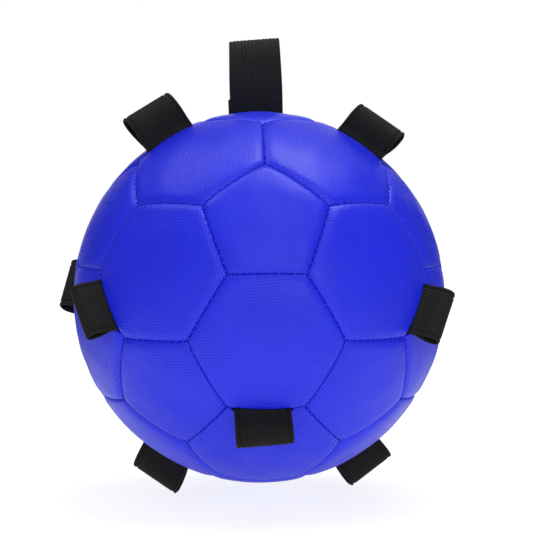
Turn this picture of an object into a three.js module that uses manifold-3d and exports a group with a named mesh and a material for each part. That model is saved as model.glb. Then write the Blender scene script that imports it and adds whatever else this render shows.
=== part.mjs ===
import * as THREE from "three";
import Module from "manifold-3d";

// A 32-panel play ball with ten webbing tabs and a carrying loop.
// Millimetres and degrees. +Z is up, -Y is the front and +X is the right.
// The origin is inside the top of the carrying loop, where a rope or a hook bears.

// Cover: twelve pentagons and twenty hexagons of padded sheet, sewn edge to edge.
const BALL_RADIUS = 110; // crown of a panel, a size 5 ball
const PANEL_THICKNESS = 3; // padded sheet at the crown
const SEAM_DEPTH = 1.8; // sewn seam below the crown
const SHOULDER_WIDTH = 6; // rolled edge beside a seam
const SEAM_GAP = 0.3; // between two panels
const PANEL_SIDE_STEPS = 3; // facets along one panel edge

// Bladder and valve, on the axis of the rear pentagon.
const BLADDER_WALL = 0.8;
const BLADDER_STEPS = 24;
const VALVE_STEM_RADIUS = 5;
const VALVE_FLANGE_RADIUS = 9;
const VALVE_FLANGE_THICKNESS = 1.6;
const VALVE_PATCH_MARGIN = 2; // flat bladder patch beyond the flange
const VALVE_BORE_RADIUS = 2.2;
const VALVE_RECESS = 0.6; // valve face below the crown
const CORE_RECESS = 0.4; // core below the valve face
const NEEDLE_RADIUS = 0.8; // passage for a 1.5 mm pump needle
const VALVE_STEPS = 20;

// Webbing: ribbed tape for the tabs, thicker webbing for the carrying loop.
const WEBBING_WIDTH = 31.75; // 1 1/4 inch
const TAB_THICKNESS = 1.4;
const TAB_OPENING = 4; // widest space between the two layers
const TAB_ROOT = 3; // height where the layers part
const TAB_STEPS = 6;
const HANDLE_THICKNESS = 2;
const HANDLE_OPENING = 14;
const HANDLE_ROOT = 4;
const HANDLE_STEPS = 9;
const HANDLE_HEIGHT = 48.5;

const FIT_GAP = 0.3; // between pieces that meet
const SEAT_STEPS = 40; // samples across a shoulder

// The tabs: the two pentagons that their seam runs between, the shift along that seam,
// the lean along it per millimetre of height, the droop at rest and the height.
const TABS = [
  { name: "tab_upper_left", from: "upper_5", to: "top", shift: 2.1, lean: -0.08, droop: 18, height: 22.5 },
  { name: "tab_upper_right", from: "top", to: "upper_2", shift: 4.6, lean: 0.1, droop: 28, height: 21.5 },
  { name: "tab_left", from: "lower_5", to: "upper_5", shift: -0.6, lean: 0, droop: 36, height: 18 },
  { name: "tab_right", from: "upper_2", to: "lower_1", shift: 3.8, lean: 0, droop: 38, height: 17 },
  { name: "tab_front", from: "lower_1", to: "lower_5", shift: 1.2, lean: 0, droop: 28, height: 21.5 },
  { name: "tab_rear_left", from: "upper_4", to: "lower_4", shift: -0.5, lean: 0, droop: 17, height: 30 },
  { name: "tab_rear_right", from: "lower_2", to: "upper_3", shift: 0, lean: 0, droop: 10, height: 22 },
  { name: "tab_lower_left", from: "bottom", to: "lower_4", shift: -0.8, lean: -0.05, droop: 16, height: 21.5 },
  { name: "tab_lower_right", from: "lower_2", to: "bottom", shift: -3.1, lean: -0.1, droop: 4, height: 20 },
  { name: "tab_rear_top", from: "upper_4", to: "upper_3", shift: 0, lean: 0, droop: 24, height: 21 },
];

const COLOURS = {
  cover: 0x2328d8,
  bladder: 0x1c1c1e,
  valve: 0x151515,
  tab: 0x1e1e1d,
  handle: 0x232426,
};

const wasm = await Module();
wasm.setup();

const seamRadius = BALL_RADIUS - SEAM_DEPTH;
const innerRadius = BALL_RADIUS - PANEL_THICKNESS;

/** Direction of a pentagon's middle at an azimuth from the front, turning to the right. */
function ringDirection(azimuth, height) {
  const angle = THREE.MathUtils.degToRad(azimuth);
  const reach = Math.sqrt(1 - height ** 2);
  return new THREE.Vector3(reach * Math.sin(angle), -reach * Math.cos(angle), height);
}

const ringHeight = 1 / Math.sqrt(5);
const pentagons = new Map([
  ["top", new THREE.Vector3(0, 0, 1)],
  ["bottom", new THREE.Vector3(0, 0, -1)],
]);
for (let i = 0; i < 5; i++) {
  pentagons.set(`upper_${i + 1}`, ringDirection(72 * i, ringHeight));
  pentagons.set(`lower_${i + 1}`, ringDirection(72 * i + 36, -ringHeight));
}

/** Seam corner on the way from one pentagon to its neighbour, as a unit direction. */
function seamCorner(near, far) {
  return pentagons.get(near).clone().multiplyScalar(2).add(pentagons.get(far)).normalize();
}

/** Height of a panel's outside above the seam, at a distance from the panel's edge. */
function shoulderRise(distance) {
  const left = 1 - Math.min(1, distance / SHOULDER_WIDTH);
  return SEAM_DEPTH * Math.sqrt(1 - left ** 2);
}

/** A closed geometry from points and triangles. */
function closedGeometry(points, triangles) {
  const geometry = new THREE.BufferGeometry().setFromPoints(points);
  geometry.setIndex(triangles);
  geometry.computeVertexNormals();
  return geometry;
}

/** Puts corners in order round their middle, anticlockwise from outside. */
function inOrder(corners) {
  const middle = corners.reduce((sum, corner) => sum.add(corner), new THREE.Vector3()).normalize();
  const across = corners[0].clone().projectOnPlane(middle).normalize();
  const up = middle.clone().cross(across);
  const angle = (corner) => Math.atan2(corner.dot(up), corner.dot(across));
  return [...corners].sort((a, b) => angle(a) - angle(b));
}

/** One padded panel over the corners given, and the radius that its inside leaves free. */
function panel(corners) {
  const rim = corners.flatMap((corner, i) => {
    const next = corners[(i + 1) % corners.length];
    return Array.from({ length: PANEL_SIDE_STEPS }, (_, step) =>
      corner.clone().lerp(next, step / PANEL_SIDE_STEPS),
    );
  });
  const middle = corners.reduce((sum, corner) => sum.add(corner), new THREE.Vector3());
  middle.divideScalar(corners.length);
  const sideMiddle = corners[0].clone().lerp(corners[1], 0.5);
  const inradius = seamRadius * sideMiddle.distanceTo(middle);
  const points = [];
  const triangles = [];
  const count = rim.length;

  const addRing = (distance, radius) => {
    const start = points.length;
    const share = 1 - distance / inradius;
    rim.forEach((point) => points.push(middle.clone().lerp(point, share).setLength(radius)));
    return start;
  };
  const addBand = (first, second) => {
    for (let i = 0; i < count; i++) {
      const j = (i + 1) % count;
      triangles.push(first + i, first + j, second + j, first + i, second + j, second + i);
    }
  };
  const addCap = (ring, radius, outward) => {
    const peak = points.push(middle.clone().setLength(radius)) - 1;
    for (let i = 0; i < count; i++) {
      const j = (i + 1) % count;
      triangles.push(...(outward ? [ring + i, ring + j, peak] : [ring + j, ring + i, peak]));
    }
  };

  const edge = SEAM_GAP / 2;
  const rows = [edge, SHOULDER_WIDTH / 5, SHOULDER_WIDTH / 2, SHOULDER_WIDTH, (SHOULDER_WIDTH + inradius) / 2];
  const outside = rows.map((distance) => addRing(distance, seamRadius + shoulderRise(distance)));
  outside.slice(1).forEach((ring, i) => addBand(outside[i], ring));
  addCap(outside.at(-1), BALL_RADIUS, true);

  const inside = [inradius / 2, edge].map((distance) => addRing(distance, innerRadius));
  const firstInside = triangles.length;
  addBand(inside[0], inside[1]);
  addCap(inside[0], innerRadius, false);
  const plane = new THREE.Plane();
  let free = innerRadius;
  for (let i = firstInside; i < triangles.length; i += 3) {
    const [a, b, c] = triangles.slice(i, i + 3).map((index) => points[index]);
    free = Math.min(free, Math.abs(plane.setFromCoplanarPoints(a, b, c).constant));
  }
  addBand(inside[1], outside[0]);
  return { geometry: closedGeometry(points, triangles), free };
}

/** A manifold solid from a three.js geometry. */
function solidOf(geometry) {
  return new wasm.Manifold(
    new wasm.Mesh({
      numProp: 3,
      vertProperties: new Float32Array(geometry.getAttribute("position").array),
      triVerts: new Uint32Array(geometry.index.array),
    }),
  );
}

/** A three.js geometry from a manifold solid. */
function geometryOf(solid) {
  const mesh = solid.getMesh();
  const geometry = new THREE.BufferGeometry();
  geometry.setAttribute("position", new THREE.BufferAttribute(mesh.vertProperties, 3));
  geometry.setIndex(new THREE.BufferAttribute(mesh.triVerts, 1));
  geometry.computeVertexNormals();
  return geometry;
}

/** Turns a geometry made about +Y so that +Y points the way given. */
function aimed(geometry, direction) {
  const turn = new THREE.Quaternion().setFromUnitVectors(new THREE.Vector3(0, 1, 0), direction);
  return geometry.applyQuaternion(turn);
}

/** A turned piece about +Y from radius and height pairs that run round its section. */
function turned(section, steps) {
  const profile = section.map(([radius, height]) => new THREE.Vector2(radius, height));
  return new THREE.LatheGeometry([...profile, profile[0]], steps);
}

const group = new THREE.Group();
group.name = "play_ball";
const ball = new THREE.Group();
ball.name = "ball";
group.add(ball);

/** Adds one named piece to the ball. */
function add(name, geometry, colour, roughness) {
  const mesh = new THREE.Mesh(geometry, new THREE.MeshStandardMaterial({ color: colour, roughness }));
  mesh.name = name;
  ball.add(mesh);
  return mesh;
}

// Cover panels.
const valveSide = "lower_3";
const valveAxis = pentagons.get(valveSide);
const neighbourReach = 1.1; // between the 1.05 to a neighbour and the 1.7 to the next pentagon
const neighbours = (name) =>
  [...pentagons.keys()].filter((other) => {
    const apart = pentagons.get(name).distanceTo(pentagons.get(other));
    return apart > 0 && apart < neighbourReach;
  });
const covers = new Map();
for (const name of pentagons.keys()) {
  covers.set(`pentagon_${name}`, inOrder(neighbours(name).map((other) => seamCorner(name, other))));
}
/** The hexagon between three neighbouring pentagons. */
function hexagon(a, b, c) {
  return inOrder([
    seamCorner(a, b),
    seamCorner(b, a),
    seamCorner(b, c),
    seamCorner(c, b),
    seamCorner(c, a),
    seamCorner(a, c),
  ]);
}
for (let i = 1; i <= 5; i++) {
  const next = (i % 5) + 1;
  covers.set(`hexagon_top_${i}`, hexagon("top", `upper_${i}`, `upper_${next}`));
  covers.set(`hexagon_upper_${i}`, hexagon(`upper_${i}`, `upper_${next}`, `lower_${i}`));
  covers.set(`hexagon_lower_${i}`, hexagon(`lower_${i}`, `lower_${next}`, `upper_${next}`));
  covers.set(`hexagon_bottom_${i}`, hexagon("bottom", `lower_${i}`, `lower_${next}`));
}
let coverFree = innerRadius;
for (const [name, corners] of covers) {
  const { geometry, free } = panel(corners);
  coverFree = Math.min(coverFree, free);
  if (name === `pentagon_${valveSide}`) {
    const drillRadius = VALVE_STEM_RADIUS + FIT_GAP;
    const drill = wasm.Manifold.cylinder(4 * PANEL_THICKNESS, drillRadius, drillRadius, VALVE_STEPS, true);
    const placed = new THREE.Matrix4().makeRotationFromQuaternion(
      new THREE.Quaternion().setFromUnitVectors(new THREE.Vector3(0, 0, 1), valveAxis),
    );
    placed.setPosition(valveAxis.clone().multiplyScalar(BALL_RADIUS));
    add(name, geometryOf(solidOf(geometry).subtract(drill.transform(placed.elements))), COLOURS.cover, 0.5);
  } else {
    add(name, geometry, COLOURS.cover, 0.5);
  }
}

// Bladder: a thin sphere with a flat patch and a hole for the valve.
const bladderRadius = coverFree - FIT_GAP;
const patchRadius = VALVE_FLANGE_RADIUS + VALVE_PATCH_MARGIN;
const valveHole = VALVE_STEM_RADIUS + FIT_GAP;
const patchHeight = (radius) => Math.sqrt(radius ** 2 - patchRadius ** 2);
/** Radius and height pairs down a sphere, from the edge of the flat patch to the far pole. */
function sphereSection(radius) {
  const first = Math.asin(patchRadius / radius);
  const rows = BLADDER_STEPS / 2;
  return Array.from({ length: rows + 1 }, (_, i) => {
    const angle = first + ((Math.PI - first) * i) / rows;
    return [i === rows ? 0 : radius * Math.sin(angle), radius * Math.cos(angle)];
  });
}
const bladderInside = bladderRadius - BLADDER_WALL;
const bladderSection = [
  [valveHole, patchHeight(bladderInside)],
  ...sphereSection(bladderInside),
  ...sphereSection(bladderRadius).reverse(),
  [valveHole, patchHeight(bladderRadius)],
];
add("bladder", aimed(turned(bladderSection, BLADDER_STEPS), valveAxis), COLOURS.bladder, 0.7);

// Valve: a flanged rubber stem on the bladder with a pierced core in its bore.
const flangeTop = patchHeight(bladderInside) - FIT_GAP;
const flangeBottom = flangeTop - VALVE_FLANGE_THICKNESS;
const valveFace = BALL_RADIUS - VALVE_RECESS;
const valveSection = [
  [VALVE_BORE_RADIUS, flangeBottom],
  [VALVE_FLANGE_RADIUS, flangeBottom],
  [VALVE_FLANGE_RADIUS, flangeTop],
  [VALVE_STEM_RADIUS, flangeTop],
  [VALVE_STEM_RADIUS, valveFace],
  [VALVE_BORE_RADIUS, valveFace],
];
add("valve_body", aimed(turned(valveSection, VALVE_STEPS), valveAxis), COLOURS.valve, 0.6);
const coreRadius = VALVE_BORE_RADIUS - FIT_GAP;
const coreSection = [
  [NEEDLE_RADIUS, flangeBottom],
  [coreRadius, flangeBottom],
  [coreRadius, valveFace - CORE_RECESS],
  [NEEDLE_RADIUS, valveFace - CORE_RECESS],
];
add("valve_core", aimed(turned(coreSection, VALVE_STEPS), valveAxis), COLOURS.valve, 0.6);

/** Height of a loop's hinge line above the seam, where its rolled root clears both shoulders. */
function seatHeight(rootRadius) {
  const reach = rootRadius + FIT_GAP;
  let height = 0;
  for (let step = 0; step <= SEAT_STEPS; step++) {
    const distance = (reach * step) / SEAT_STEPS;
    height = Math.max(height, shoulderRise(distance) + Math.sqrt(reach ** 2 - distance ** 2));
  }
  return height;
}

/**
 * Section of a folded loop: a rolled root on the hinge line and two layers that part in a
 * teardrop, as wide as the opening at two thirds of its height.
 */
function loopSection(height, thickness, opening, root, steps) {
  const clear = height - thickness - root;
  const widest = Math.sqrt(1 / 3) * (2 / 3);
  const side = (share) => {
    const half = ((opening / 2) * share * Math.sqrt(1 - share)) / widest;
    return new THREE.Vector2(half, root + clear * share);
  };
  const shares = Array.from({ length: steps + 1 }, (_, i) => 1 - (1 - i / steps) ** 2);
  const inner = shares.map(side);
  const outer = inner.map((point, i) => {
    if (i === 0) {
      return new THREE.Vector2(thickness, root);
    }
    if (i === steps) {
      return new THREE.Vector2(0, height);
    }
    const tangent = inner[i + 1].clone().sub(inner[i - 1]).normalize();
    return point.clone().add(new THREE.Vector2(tangent.y, -tangent.x).multiplyScalar(thickness));
  });
  const mirrored = (points) => points.map((point) => new THREE.Vector2(-point.x, point.y)).reverse();
  const rootArc = [-135, -90, -45, 0].map((degrees) => {
    const angle = THREE.MathUtils.degToRad(degrees);
    return new THREE.Vector2(thickness * Math.cos(angle), thickness * Math.sin(angle));
  });
  const shape = new THREE.Shape([
    ...rootArc,
    ...outer,
    ...mirrored(outer.slice(0, -1)),
    new THREE.Vector2(-thickness, 0),
  ]);
  shape.holes.push(new THREE.Path([...inner, ...mirrored(inner.slice(1, -1))]));
  return shape;
}

/** Adds a webbing loop that stands on the seam between two seam corners. */
function addLoop({ name, ends, shift, lean, droop, height, thickness, opening, root, steps, colour }) {
  const hingeRadius = seamRadius + seatHeight(thickness);
  const seamMiddle = ends[0].clone().add(ends[1]).normalize();
  const seamPole = ends[0].clone().cross(ends[1]).normalize();
  const outward = seamMiddle.applyAxisAngle(seamPole, shift / hingeRadius);
  const along = seamPole.clone().cross(outward);
  const across = outward.clone().cross(along);
  const hinge = outward.clone().multiplyScalar(hingeRadius);

  const section = loopSection(height, thickness, opening, root, steps);
  const geometry = new THREE.ExtrudeGeometry(section, { depth: WEBBING_WIDTH, bevelEnabled: false });
  geometry.translate(0, 0, -WEBBING_WIDTH / 2);
  geometry.applyMatrix4(new THREE.Matrix4().makeShear(0, 0, 0, lean, 0, 0));
  geometry.rotateZ(THREE.MathUtils.degToRad(-droop));
  geometry.applyMatrix4(new THREE.Matrix4().makeBasis(across, outward, along).setPosition(hinge));
  const mesh = add(name, geometry, colour, 0.9);
  mesh.userData = { hinge, axis: along.clone().negate(), outward };
  return mesh;
}

for (const { from, to, ...tab } of TABS) {
  addLoop({
    ...tab,
    ends: [seamCorner(from, to), seamCorner(to, from)],
    thickness: TAB_THICKNESS,
    opening: TAB_OPENING,
    root: TAB_ROOT,
    steps: TAB_STEPS,
    colour: COLOURS.tab,
  });
}

// Carrying loop: on the rear edge of the top pentagon, standing upright.
const handleEnds = [seamCorner("top", "upper_4"), seamCorner("top", "upper_3")];
const handleOutward = handleEnds[0].clone().add(handleEnds[1]).normalize();
const handleTilt = THREE.MathUtils.radToDeg(Math.acos(handleOutward.z));
const handle = addLoop({
  name: "handle",
  ends: handleEnds,
  shift: 0,
  lean: 0,
  droop: -handleTilt,
  height: HANDLE_HEIGHT,
  thickness: HANDLE_THICKNESS,
  opening: HANDLE_OPENING,
  root: HANDLE_ROOT,
  steps: HANDLE_STEPS,
  colour: COLOURS.handle,
});
const loopTop = handle.userData.hinge.clone();
loopTop.z += HANDLE_HEIGHT - HANDLE_THICKNESS;
ball.position.copy(loopTop).negate();

export default group;
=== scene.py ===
"""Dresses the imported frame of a 32-panel play ball with webbing tabs and a carrying loop.

Shapes are worked out in millimetres from the middle of the ball and put into the part's frame in
metres: +Z is up, -Y is the front and +X is the right.
"""

from __future__ import annotations

import logging
import math
from dataclasses import dataclass
from enum import Enum
from typing import Any

import bpy
import numpy as np
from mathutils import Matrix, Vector

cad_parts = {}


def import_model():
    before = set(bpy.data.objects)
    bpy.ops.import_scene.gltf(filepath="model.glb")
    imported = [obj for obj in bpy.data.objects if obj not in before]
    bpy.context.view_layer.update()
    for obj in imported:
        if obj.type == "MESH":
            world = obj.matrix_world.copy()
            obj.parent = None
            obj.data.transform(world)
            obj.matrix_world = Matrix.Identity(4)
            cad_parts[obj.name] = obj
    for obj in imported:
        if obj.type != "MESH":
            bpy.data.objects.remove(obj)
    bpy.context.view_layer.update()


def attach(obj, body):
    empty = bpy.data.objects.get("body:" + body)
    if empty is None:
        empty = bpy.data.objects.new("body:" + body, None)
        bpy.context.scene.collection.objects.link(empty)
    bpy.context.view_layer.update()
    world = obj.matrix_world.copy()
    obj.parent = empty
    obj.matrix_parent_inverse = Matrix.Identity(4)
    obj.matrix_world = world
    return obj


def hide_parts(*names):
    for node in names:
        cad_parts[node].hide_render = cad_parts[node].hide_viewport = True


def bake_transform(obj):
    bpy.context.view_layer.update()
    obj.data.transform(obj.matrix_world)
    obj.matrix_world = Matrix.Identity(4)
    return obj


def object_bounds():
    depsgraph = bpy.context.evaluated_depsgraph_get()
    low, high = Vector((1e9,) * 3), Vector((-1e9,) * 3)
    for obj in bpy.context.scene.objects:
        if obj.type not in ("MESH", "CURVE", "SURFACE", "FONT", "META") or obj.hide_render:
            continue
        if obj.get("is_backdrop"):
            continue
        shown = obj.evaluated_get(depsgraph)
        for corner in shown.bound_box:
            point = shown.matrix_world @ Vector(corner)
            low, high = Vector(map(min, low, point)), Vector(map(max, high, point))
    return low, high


LOG = logging.getLogger("play_ball")
MM = 0.001
BALL_BODY = "ball"
PANEL_MAP = "panel"
STRAP_MAP = "strap"
HANDLE_ENDS = (("top", "upper_4"), ("top", "upper_3"))
PANEL_SEED = 7100
STITCH_SEED = 7200

Array = np.ndarray
Colour = tuple[float, float, float, float]


class Slot(Enum):
    """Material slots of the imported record."""

    COVER = "cover"
    BLADDER = "bladder"
    VALVE = "valve"
    TAB = "tab_webbing"
    HANDLE = "handle_webbing"


def unit(vector: Array) -> Array:
    """Returns the vector at length one."""
    return vector / np.linalg.norm(vector)


def units(rows: Array) -> Array:
    """Returns each row at length one."""
    return rows / np.linalg.norm(rows, axis=1)[:, None]


def smooth_step(value: Array | float, low: float, high: float) -> Array:
    """Eases a value, or each of many, from 0 to 1 between two bounds."""
    share = np.clip((np.asarray(value, float) - low) / (high - low), 0.0, 1.0)
    return share * share * (3.0 - 2.0 * share)


@dataclass(frozen=True)
class BallSizes:
    """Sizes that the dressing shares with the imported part, in millimetres."""

    crown: float = 110.0
    sheet: float = 3.0
    seam_depth: float = 1.8
    shoulder: float = 6.0
    fit_gap: float = 0.3
    bladder: float = 105.69
    bladder_wall: float = 0.8
    seat_steps: int = 40
    handle_height: float = 48.5
    handle_thickness: float = 2.0

    @property
    def seam_radius(self) -> float:
        """Radius of the seams."""
        return self.crown - self.seam_depth

    @property
    def inner_radius(self) -> float:
        """Radius of the inside of the cover."""
        return self.crown - self.sheet

    def rise(self, distance: Array | float) -> Array:
        """Height of a panel above its seam, at a distance from the panel's edge."""
        left = 1.0 - np.clip(np.asarray(distance, float) / self.shoulder, 0.0, 1.0)
        return self.seam_depth * np.sqrt(1.0 - left**2)

    def hinge_radius(self, thickness: float) -> float:
        """Radius of a loop's hinge line, where its packed root clears both shoulders.

        Args:
            thickness: Thickness of the loop's webbing.

        Returns:
            The radius of the hinge line.
        """
        reach = thickness + self.fit_gap
        distance = np.linspace(0.0, reach, self.seat_steps + 1)
        seat = self.rise(distance) + np.sqrt(reach**2 - distance**2)
        return self.seam_radius + float(seat.max())


class SeamLayout:
    """Directions of the pentagons, and the panels and seams between them."""

    def __init__(self, sizes: BallSizes) -> None:
        """Works out every panel and seam.

        Args:
            sizes: The ball's shared sizes.
        """
        self.sizes = sizes
        self.middles: dict[str, Array] = {
            "top": np.array([0.0, 0.0, 1.0]),
            "bottom": np.array([0.0, 0.0, -1.0]),
        }
        height = 1.0 / math.sqrt(5.0)
        fifth = 360.0 / 5.0
        for i in range(5):
            self.middles[f"upper_{i + 1}"] = self.ring_direction(fifth * i, height)
            self.middles[f"lower_{i + 1}"] = self.ring_direction(fifth * (i + 0.5), -height)
        self.panels = self._panels()
        loop_top = self.seam_middle(HANDLE_ENDS) * sizes.hinge_radius(sizes.handle_thickness)
        loop_top[2] += sizes.handle_height - sizes.handle_thickness
        self.centre = -loop_top

    @staticmethod
    def ring_direction(azimuth: float, height: float) -> Array:
        """Direction at an azimuth from the front, turning to the right.

        Args:
            azimuth: Azimuth in degrees.
            height: Height of the direction above the equator, from -1 to 1.

        Returns:
            The unit direction.
        """
        angle = math.radians(azimuth)
        reach = math.sqrt(1.0 - height**2)
        return np.array([reach * math.sin(angle), -reach * math.cos(angle), height])

    def corner(self, near: str, far: str) -> Array:
        """Direction of the seam corner on the way from one pentagon to its neighbour."""
        return unit(2.0 * self.middles[near] + self.middles[far])

    def seam_middle(self, ends: tuple[tuple[str, str], tuple[str, str]]) -> Array:
        """Direction of the middle of the seam between two corners."""
        return unit(self.corner(*ends[0]) + self.corner(*ends[1]))

    @staticmethod
    def in_order(corners: list[Array]) -> Array:
        """Puts corners in order round their middle, anticlockwise from outside.

        Args:
            corners: The corner directions.

        Returns:
            The corners in order, one row each.
        """
        middle = unit(np.sum(corners, axis=0))
        across = unit(corners[0] - middle * (corners[0] @ middle))
        up = np.cross(middle, across)
        return np.array(sorted(corners, key=lambda c: math.atan2(c @ up, c @ across)))

    def _panels(self) -> dict[str, Array]:
        """Puts the panels between the pentagons' middles.

        Returns:
            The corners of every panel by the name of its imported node.
        """
        neighbour_reach = 1.1
        panels: dict[str, Array] = {}
        for name, middle in self.middles.items():
            near = [
                other
                for other, place in self.middles.items()
                if 0.0 < np.linalg.norm(place - middle) < neighbour_reach
            ]
            panels[f"pentagon_{name}"] = self.in_order([self.corner(name, other) for other in near])
        for i in range(1, 6):
            after = i % 5 + 1
            trios = {
                "top": ("top", f"upper_{i}", f"upper_{after}"),
                "upper": (f"upper_{i}", f"upper_{after}", f"lower_{i}"),
                "lower": (f"lower_{i}", f"lower_{after}", f"upper_{after}"),
                "bottom": ("bottom", f"lower_{i}", f"lower_{after}"),
            }
            for band, trio in trios.items():
                corners = [self.corner(a, b) for a in trio for b in trio if a != b]
                panels[f"hexagon_{band}_{i}"] = self.in_order(corners)
        return panels

    @staticmethod
    def seam_key(first: Array, second: Array) -> tuple[float, ...]:
        """A key for the seam between two corners, the same from both panels."""
        return tuple(np.round(unit(first + second), decimals=3) + 0.0)

    def seams(self) -> list[tuple[Array, Array]]:
        """Lists the seams.

        Returns:
            The two corners of every seam, each seam once.
        """
        found: dict[tuple[float, ...], tuple[Array, Array]] = {}
        for corners in self.panels.values():
            for first, second in zip(corners, np.roll(corners, -1, axis=0)):
                found.setdefault(self.seam_key(first, second), (first, second))
        return list(found.values())

    def placed(self, points: Array) -> Array:
        """Points in the part's frame in metres, from millimetres about the ball's middle."""
        return (points + self.centre) * MM


def add_mesh(name: str, points: Array, faces: list[tuple[int, ...]]) -> bpy.types.Object:
    """Adds a smooth mesh to the scene.

    Args:
        name: Name of the piece.
        points: Points in the part's frame, in metres.
        faces: Corner numbers of each face.

    Returns:
        The new object.
    """
    mesh = bpy.data.meshes.new(name)
    mesh.from_pydata(points.tolist(), [], faces)
    mesh.polygons.foreach_set("use_smooth", np.ones(len(mesh.polygons), bool))
    mesh.update()
    piece = bpy.data.objects.new(name, mesh)
    bpy.context.scene.collection.objects.link(piece)
    return piece


def add_map(piece: bpy.types.Object, name: str, places: Array) -> None:
    """Gives a mesh a UV map from one place per point.

    Args:
        piece: The mesh object.
        name: Name of the map.
        places: One pair of numbers per point.
    """
    mesh = piece.data
    corners = np.empty(len(mesh.loops), np.int32)
    mesh.loops.foreach_get("vertex_index", corners)
    layer = mesh.uv_layers.new(name=name)
    layer.uv.foreach_set("vector", places[corners].astype(np.float32).ravel())


def add_values(piece: bpy.types.Object, name: str, values: Array) -> None:
    """Stores one number or vector per point on a mesh.

    Args:
        piece: The mesh object.
        name: Name of the attribute.
        values: One number or one row of three per point.
    """
    vector = values.ndim == 2
    kind = "FLOAT_VECTOR" if vector else "FLOAT"
    attribute = piece.data.attributes.new(name, kind, "POINT")
    attribute.data.foreach_set("vector" if vector else "value", values.astype(np.float32).ravel())


class NodeBoard:
    """Adds and links nodes in one tree."""

    def __init__(self, tree: bpy.types.NodeTree) -> None:
        """Starts on a tree, from which old nodes are cleared."""
        self.tree = tree
        tree.nodes.clear()

    def add(self, kind: str, **settings: Any) -> bpy.types.Node:
        """Adds a node and sets its properties.

        Args:
            kind: Blender's name of the node type.
            **settings: Properties of the node.

        Returns:
            The node.
        """
        node = self.tree.nodes.new(kind)
        for name, value in settings.items():
            setattr(node, name, value)
        return node

    def feed(self, socket: bpy.types.NodeSocket, value: Any) -> None:
        """Links another socket to a socket, or sets a plain value on it.

        Args:
            socket: The socket to feed.
            value: A socket or a plain value.
        """
        if isinstance(value, bpy.types.NodeSocket):
            self.tree.links.new(value, socket)
        else:
            socket.default_value = value

    def math(self, operation: str, *values: Any) -> bpy.types.NodeSocket:
        """Adds a Math node.

        Args:
            operation: Blender's name of the operation.
            *values: Sockets or numbers for its inputs.

        Returns:
            The result's socket.
        """
        node = self.add("ShaderNodeMath", operation=operation)
        for socket, value in zip(node.inputs, values):
            self.feed(socket, value)
        return node.outputs[0]

    def remap(
        self, value: Any, low: float, high: float, to_low: float, to_high: float
    ) -> bpy.types.NodeSocket:
        """Adds a Map Range node.

        Args:
            value: Socket or number to map.
            low: Value that becomes to_low.
            high: Value that becomes to_high.
            to_low: Result at the low end.
            to_high: Result at the high end.

        Returns:
            The result's socket.
        """
        node = self.add("ShaderNodeMapRange")
        names = ("Value", "From Min", "From Max", "To Min", "To Max")
        for name, entry in zip(names, (value, low, high, to_low, to_high)):
            self.feed(node.inputs[name], entry)
        return node.outputs["Result"]

    def _mix(self, kind: str, ending: str, share: Any, first: Any, second: Any) -> bpy.types.NodeSocket:
        """Adds a Mix node.

        Args:
            kind: Blender's name of the type of data.
            ending: Ending of that type's sockets.
            share: Share of the second entry.
            first: Socket or value at a share of 0.
            second: Socket or value at a share of 1.

        Returns:
            The result's socket.
        """
        node = self.add("ShaderNodeMix", data_type=kind)
        inputs = {socket.identifier: socket for socket in node.inputs}
        for name, entry in (("Factor_Float", share), (f"A_{ending}", first), (f"B_{ending}", second)):
            self.feed(inputs[name], entry)
        return next(socket for socket in node.outputs if socket.identifier == f"Result_{ending}")

    def mix_value(self, share: Any, first: Any, second: Any) -> bpy.types.NodeSocket:
        """Mixes two numbers and returns the result's socket."""
        return self._mix("FLOAT", "Float", share, first, second)

    def mix_colour(self, share: Any, first: Any, second: Any) -> bpy.types.NodeSocket:
        """Mixes two colours and returns the result's socket."""
        return self._mix("RGBA", "Color", share, first, second)


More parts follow.
